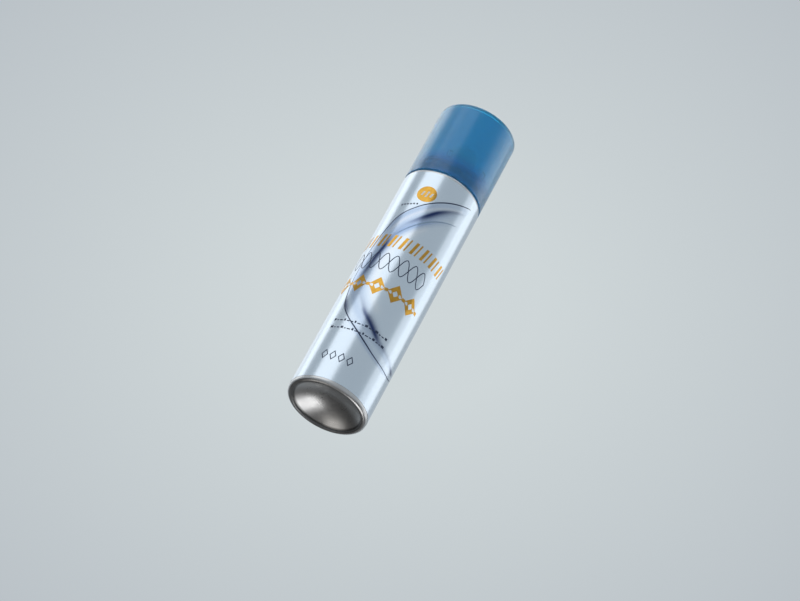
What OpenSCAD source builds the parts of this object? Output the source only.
// Pocket aerosol can: a one-piece aluminium can with a one-inch spray valve, a push button
// and a pull-off cap. The origin is the centre of the foot ring, +Z runs up the can's axis,
// and the front of the label and the nozzle face -Y. All sizes are in millimetres.

/* [Can] */
// Diameter over the label
can_d = 35; // [35:0.5:40]
// Height of the straight wall above the foot ring
wall_h = 115.8; // [80:0.1:150]
// Thickness of the drawn wall
wall_t = 0.4; // [0.3:0.05:0.4]
// Thickness of the pressed base
base_t = 0.7; // [0.5:0.1:0.9]
// Height of the base dome's crown above the foot ring
dome_h = 4.8; // [3.5:0.1:5.5]
// Radius of the base's outer corner
corner_r = 1.4; // [1.2:0.1:1.8]
// Radius of the shoulder's outer corner, under the cap
shoulder_r = 1.6; // [1.2:0.1:1.6]

/* [Label] */
// Thickness of the printed sleeve
label_t = 0.1; // [0.06:0.02:0.2]
// Bare metal left between the base's corner and the label
label_gap = 0.6; // [0.2:0.1:4]

/* [Valve] */
// Bore of the can's neck, a standard one-inch valve opening
bore_d = 25.4; // [25.2:0.1:25.6]
// Diameter of the valve stem
stem_d = 3.92; // [3.7:0.02:3.96]
// Distance that the stem is pressed to open the valve
travel = 1.3; // [0.8:0.1:1.4]
// Gap between the dip tube's end and the base
dip_gap = 2; // [1:0.5:10]

/* [Spray button] */
// Diameter of the button's skirt
button_d = 12.4; // [12:0.2:15]
// Height of the button
button_h = 13.6; // [13:0.2:18]

/* [Overcap] */
// Diameter of the cap
cap_d = 34.9; // [34.6:0.1:35]
// Height of the cap
cap_h = 38.6; // [36:0.2:60]
// Thickness of the cap's wall
cap_t = 0.85; // [0.75:0.05:0.85]

/* [Hidden] */
FN = 96;

// Radial clearance of a sliding fit, and how far a cut runs past the face that it opens
slip = 0.04;
over = 1;

// Label: bare metal left below the shoulder
label_inset = 0.3;

// Can: foot ring, base dome and wall
can_r = can_d / 2 - label_t;
foot_out = can_r - corner_r;
foot_in = foot_out - 0.4;
lip_r = 0.6;
dome_r = foot_in - lip_r;
lip_h = 0.8;
dome_rise = dome_h - lip_h;
dome_ball = (dome_r * dome_r + dome_rise * dome_rise) / (2 * dome_rise);
dome_c = dome_h - dome_ball;
dome_edge = acos(dome_r / dome_ball);
base_taper = 3;

// Can: step, shoulder, neck and rolled curl
step_z = wall_h + shoulder_r;
fillet_r = 0.5;
bore_r = bore_d / 2;
collar_r = bore_r + 2.6;
swell_r = 2.4;
swell_z = step_z + 2.2;
flare_a = 60;
neck_r = bore_r + wall_t;
flare_r = (collar_r - swell_r * (1 - cos(flare_a)) - neck_r) / (1 - cos(flare_a));
flare_z = swell_z + (swell_r + flare_r) * sin(flare_a);
curl_r = 1.45;
curl_c = bore_r + curl_r;
curl_z = step_z + 7.8;
curl_end = -70;

// Mounting cup, crimped over the curl with its gasket between
gasket_t = 0.25;
gasket_gap = 0.03;
cup_t = 0.3;
rim_r = curl_r + gasket_t + cup_t;
rim_out = curl_c + rim_r;
rim_z = curl_z + rim_r;
skirt_h = 0.9;
cup_wall = curl_c - rim_r;
crimp_r = 0.9;
crimp_z = curl_z - 4.5;
crimp_a = 60;
crimp_h = 1.6;
crimp_in = 0.15;
cup_floor = step_z + 0.5;
cup_corner = 1.2;
pedestal_r = 5.6;
pedestal_z = rim_z + 1.4;
pedestal_corner = 0.8;
pedestal_foot = 1;
clinch_r = 0.8;
clinch_out = 0.5;
clinch_a = 52;
clinch_z = pedestal_z - 4;
stem_hole_r = stem_d / 2 + 0.4;

// Valve parts inside the pedestal
seal_z = pedestal_z - cup_t;
seal_t = 1;
seal_r = 4.7;
house_z = seal_z - seal_t;
house_flange_r = 5.2;
house_flange_h = 2;
house_r = 4.4;
chamber_r = 3.3;
chamber_h = 7.7;
chamber_z = house_z - chamber_h;
tail_r = 1.6;
tail_bore = 0.75;
tail_z = chamber_z - 9.6;
house_floor = 1.2;
house_cone = 1.6;
house_edge = 0.5;
stem_r = stem_d / 2;
stem_h = 7;
stem_top = pedestal_z + stem_h;
stem_bore = 0.8;
stem_collar_r = 3.05;
stem_collar_h = 1.2;
stem_nub_r = 1.8;
stem_nub_h = 1.5;
orifice_r = 0.25;
wire_r = 0.25;
coil_r = 2.4;
coil_z0 = chamber_z + wire_r;
coil_z1 = house_z - stem_collar_h - wire_r;
coil_turns = 6;
coil_steps = 18;
coil_sides = 8;
tube_r = 2.05;
tube_top = tail_z + 6.4;
tube_end = dome_h + base_t + dip_gap;
tube_slant = 40;

// Spray button, on the stem, and its nozzle insert, on the front
button_z = pedestal_z + travel + 0.4;
button_r = button_d / 2;
button_top = button_z + button_h;
button_draft = 0.5;
button_edge = 1;
button_wall = 1;
hollow_h = 5.6;
socket_r = stem_r + slip;
socket_out = 3.3;
socket_top = stem_top + 0.05;
web_t = 0.8;
nozzle_z = button_z + 8.2;
insert_r = 2.2;
insert_l = 2.3;
insert_face = button_r - button_draft - 0.5;
insert_wall = 0.45;
insert_cup_r = 1.45;
face_r = 3.9;
post_r = 1.1;
post_gap = 0.2;
feed_r = 0.5;
feed_up = 1.5;
dish_r = 15;
dish_d = 2.4;
dish_y = -2;

// Overcap: snap nubs under the cup's rim and stop ribs above it
cap_r = cap_d / 2;
cap_in = cap_r - cap_t;
cap_top = step_z + cap_h;
cap_roof = 1.2;
cap_edge = 0.8;
grips = 6;
nub_r = rim_out + 0.1;
nub_z = curl_z - skirt_h - 0.5;
nub_a = 18;
nub_edge = 0.3;
nub_lead = 1;
rib_r = rim_out - 0.45;
rib_z = curl_z + 1.4;
rib_h = 3;
rib_w = 1.2;
gate_r = 1.5;
gate_d = 0.3;

// Points along an arc about c, from angle a0 to a1
function arc(c, r, a0, a1, n = 8) =
    [for (i = [0 : n]) let (a = a0 + (a1 - a0) * i / n) c + r * [cos(a), sin(a)]];

function reversed(p) = [for (i = [len(p) - 1 : -1 : 0]) p[i]];

// Revolve a sheet whose two faces are the lists top and bottom, in the same direction
module sheet(top, bottom) {
    rotate_extrude($fn = FN) polygon(concat(top, reversed(bottom)));
}

// The can's face at depth t below its outer skin: base dome, foot ring and outer corner
function base_skin(t) = concat(
    arc([0, dome_c], dome_ball + t, 90, dome_edge, 18),
    t == 0 ? arc([foot_in, lip_r], lip_r, 180, 270, 6) : [],
    arc([foot_out, corner_r], corner_r - t, 270, 360));

// The same for the shoulder's corner, step, swell and neck, and on round the rolled curl
function shoulder_skin(t) = concat(
    arc([can_r - shoulder_r, wall_h], shoulder_r - t, 0, 90),
    arc([collar_r + fillet_r, step_z + fillet_r], fillet_r + t, 270, 180, 5),
    arc([collar_r - swell_r, swell_z], swell_r - t, 0, flare_a),
    arc([neck_r + flare_r, flare_z], flare_r + t, 180 + flare_a, 180, 6),
    arc([curl_c, curl_z], curl_r - wall_t + t, 180, curl_end, 20));

module can_body() {
    taper_z = corner_r + base_taper;
    color("silver") sheet(
        concat(base_skin(0), shoulder_skin(0)),
        concat(base_skin(base_t), [[can_r - wall_t, taper_z]], shoulder_skin(wall_t)));
}

// Printed film wrapped round the straight wall
module label_sleeve() {
    z0 = corner_r + label_gap;
    color("lightsteelblue") translate([0, 0, z0]) difference() {
        cylinder(r = can_d / 2, h = wall_h - label_inset - z0, $fn = FN);
        translate([0, 0, -over]) cylinder(r = can_r, h = wall_h, $fn = FN);
    }
}

// The mounting cup's face at depth t below its upper side, from the skirt in to the stem hole
function cup_skin(t) = concat(
    [[rim_out - t, curl_z - skirt_h]],
    arc([curl_c, curl_z], rim_r - t, 0, 180, 14),
    [[cup_wall + t, crimp_z + crimp_h]],
    arc([cup_wall + crimp_in, crimp_z], crimp_r + t, crimp_a, -crimp_a),
    [[cup_wall + t, crimp_z - crimp_h]],
    arc([cup_wall - cup_corner, cup_floor + cup_corner], cup_corner + t, 0, -90),
    arc([pedestal_r + pedestal_foot, cup_floor + pedestal_foot], pedestal_foot + t, 270, 180),
    arc([pedestal_r + clinch_out, clinch_z], clinch_r + t, 180 + clinch_a, 180 - clinch_a),
    arc([pedestal_r - pedestal_corner, pedestal_z - pedestal_corner], pedestal_corner - t, 0, 90),
    [[stem_hole_r, pedestal_z - t]]);

module mounting_cup() {
    color("gainsboro") sheet(cup_skin(0), cup_skin(cup_t));
}

// Ring squeezed between the can's curl and the mounting cup
module cup_gasket() {
    tip_z = curl_z - 1.6;
    over_a = 20;
    top_r = curl_r + gasket_t - gasket_gap;
    under_r = curl_r + gasket_gap;
    color("dimgray") sheet(
        concat(arc([curl_c, curl_z], top_r, over_a, 180, 12), [[curl_c - top_r, tip_z]]),
        concat(arc([curl_c, curl_z], under_r, over_a, 180, 12), [[curl_c - under_r, tip_z]]));
}

// Disc that seals the stem's side orifice
module stem_gasket() {
    color("black") translate([0, 0, house_z]) difference() {
        cylinder(r = seal_r, h = seal_t, $fn = FN);
        translate([0, 0, -over])
            cylinder(r = stem_r + slip, h = seal_t + 2 * over, $fn = FN);
    }
}

// Chamber for the spring, with a tail that the dip tube is pushed onto
module valve_housing() {
    flange_z = house_z - house_flange_h;
    floor_z = chamber_z - house_floor;
    cone_z = floor_z - house_cone;
    color("white") difference() {
        rotate_extrude($fn = FN) polygon([
            [0, tail_z], [tail_r - house_edge / 2, tail_z], [tail_r, tail_z + house_edge],
            [tail_r, cone_z], [tail_r + 2 * house_edge, cone_z], [house_r - house_edge, floor_z],
            [house_r, floor_z + house_edge], [house_r, flange_z - house_edge],
            [house_flange_r, flange_z], [house_flange_r, house_z], [0, house_z]]);
        translate([0, 0, chamber_z]) cylinder(r = chamber_r, h = chamber_h + over, $fn = FN);
        translate([0, 0, tail_z - over])
            cylinder(r = tail_bore, h = chamber_z - tail_z + 2 * over, $fn = FN);
    }
}

// The spring's wire, where u runs from 0 at its lower end to 1 at its upper end. The first and
// last turns close up: they climb by one wire thickness, and the turns between climb the rest.
function coil_close(u) = let (e = 1 / coil_turns)
    u < e ? u / e : u > 1 - e ? 1 + (u - 1 + e) / e : 1;
function coil_rise(u) = let (e = 1 / coil_turns)
    u < e ? 0 : u > 1 - e ? 1 : (u - e) / (1 - 2 * e);

// The height of the wire's centre, and a point on its skin at angle b round the wire
function coil_z(u) = coil_z0 + 2 * wire_r * coil_close(u)
    + (coil_z1 - coil_z0 - 4 * wire_r) * coil_rise(u);
function coil_point(u, b) = let (a = 360 * coil_turns * u, r = coil_r + wire_r * cos(b))
    [r * cos(a), r * sin(a), coil_z(u) + wire_r * sin(b)];

module valve_spring() {
    rings = coil_turns * coil_steps;
    points = [for (i = [0 : rings], k = [0 : coil_sides - 1])
        coil_point(i / rings, 360 * k / coil_sides)];
    sides = [for (i = [0 : rings - 1], k = [0 : coil_sides - 1])
        let (a = i * coil_sides + k, b = i * coil_sides + (k + 1) % coil_sides)
        [a, b, b + coil_sides, a + coil_sides]];
    ends = [[for (k = [coil_sides - 1 : -1 : 0]) k],
        [for (k = [0 : coil_sides - 1]) rings * coil_sides + k]];
    color("slategray") polyhedron(points, concat(sides, ends));
}

// Hollow stem with a side orifice that the gasket covers at rest
module valve_stem() {
    foot_z = house_z - stem_collar_h;
    hole_z = house_z + seal_t / 2;
    color("whitesmoke") difference() {
        union() {
            translate([0, 0, foot_z - stem_nub_h])
                cylinder(r = stem_nub_r, h = stem_nub_h + over, $fn = FN);
            translate([0, 0, foot_z]) cylinder(r = stem_collar_r, h = stem_collar_h, $fn = FN);
            translate([0, 0, foot_z]) cylinder(r = stem_r, h = stem_top - foot_z, $fn = FN);
        }
        translate([0, 0, hole_z - 0.4])
            cylinder(r = stem_bore, h = stem_top - hole_z + over, $fn = FN);
        translate([0, 0, hole_z]) rotate([90, 0, 0])
            cylinder(r = orifice_r, h = 2 * (stem_r + over), center = true, $fn = 24);
    }
}

// Tube down to the base, with its lower end cut on the slant
module dip_tube() {
    tube_h = tube_top - tube_end;
    cutter = 8 * tube_r;
    color("aliceblue") translate([0, 0, tube_end]) difference() {
        cylinder(r = tube_r, h = tube_h, $fn = FN);
        translate([0, 0, -over]) cylinder(r = tail_r, h = tube_h + 2 * over, $fn = FN);
        translate([-tube_r, 0, 0]) rotate([0, -tube_slant, 0]) translate([0, 0, -cutter / 2])
            cube(cutter, center = true);
    }
}

// A cylinder along -Y, between depths y0 and y1 in front of the axis, at the nozzle's height
module along_nozzle(r, y0, y1) {
    translate([0, -y0, nozzle_z]) rotate([90, 0, 0]) cylinder(r = r, h = y1 - y0, $fn = FN);
}

// Space under the button round its socket, crossed by two webs
module button_hollow() {
    skirt_in = button_r - button_draft - button_wall;
    translate([0, 0, button_z - over]) difference() {
        cylinder(r = skirt_in, h = hollow_h + over, $fn = FN);
        cylinder(r = socket_out, h = hollow_h + 2 * over, $fn = FN);
        for (a = [45, 135]) rotate([0, 0, a]) translate([-button_r, -web_t / 2, 2 * over])
            cube([button_d, web_t, hollow_h]);
    }
}

// Pocket for the nozzle insert, with a post that fills the middle of the insert
module nozzle_pocket() {
    pocket_y = insert_face - insert_l - post_gap;
    difference() {
        along_nozzle(insert_r, pocket_y, button_r + over);
        along_nozzle(post_r, pocket_y - over, insert_face - insert_wall - post_gap);
    }
    along_nozzle(face_r, insert_face, button_r + over);
    translate([0, 0, feed_up]) along_nozzle(feed_r, 0, pocket_y + post_gap / 2);
}

// Push button: skirt, socket for the stem, channel to the nozzle and a finger rest on top
module spray_button() {
    edge_r = button_r - button_draft - button_edge;
    chamfer = 0.3;
    color("ghostwhite") difference() {
        rotate_extrude($fn = FN) polygon(concat(
            [[0, button_z], [button_r - chamfer, button_z], [button_r, button_z + chamfer]],
            arc([edge_r, button_top - button_edge], button_edge, 0, 90),
            [[0, button_top]]));
        button_hollow();
        translate([0, 0, button_z - over])
            cylinder(r = socket_r, h = socket_top - button_z + over, $fn = FN);
        translate([0, 0, button_z])
            cylinder(r = stem_bore, h = nozzle_z + feed_up + feed_r - button_z, $fn = FN);
        nozzle_pocket();
        translate([0, dish_y, button_top + dish_r - dish_d]) rotate([0, 90, 0])
            cylinder(r = dish_r, h = 2 * button_d, center = true, $fn = FN);
    }
}

// Cup-shaped insert that holds the spray orifice
module nozzle_insert() {
    back = insert_face - insert_l;
    color("royalblue") difference() {
        along_nozzle(insert_r, back, insert_face);
        along_nozzle(insert_cup_r, back - over, insert_face - insert_wall);
        along_nozzle(orifice_r, back, insert_face + over);
    }
}

// Pull-off cap with snap nubs below the mounting cup's rim and stop ribs above it
module overcap() {
    inner_z = cap_top - cap_roof;
    root_r = cap_in + cap_t / 2;
    color("steelblue") {
        difference() {
            sheet(
                concat([[cap_r, step_z]],
                    arc([cap_r - cap_edge, cap_top - cap_edge], cap_edge, 0, 90),
                    [[0, cap_top]]),
                concat([[cap_in, step_z]],
                    arc([cap_in - cap_edge, inner_z - cap_edge], cap_edge, 0, 90),
                    [[0, inner_z]]));
            translate([0, 0, cap_top - gate_d]) cylinder(r = gate_r, h = over, $fn = FN);
        }
        for (i = [0 : grips - 1]) rotate([0, 0, 360 * i / grips]) {
            rotate_extrude(angle = nub_a, $fn = FN) polygon([
                [root_r, nub_z - nub_lead], [cap_in, nub_z - nub_lead], [nub_r, nub_z - nub_edge],
                [nub_r, nub_z], [cap_in, nub_z + nub_edge], [root_r, nub_z + nub_edge]]);
            rotate([0, 0, 180 / grips]) translate([rib_r, -rib_w / 2, rib_z])
                cube([root_r - rib_r, rib_w, rib_h]);
        }
    }
}

can_body();
label_sleeve();
mounting_cup();
cup_gasket();
stem_gasket();
valve_housing();
valve_spring();
valve_stem();
dip_tube();
spray_button();
nozzle_insert();
overcap();
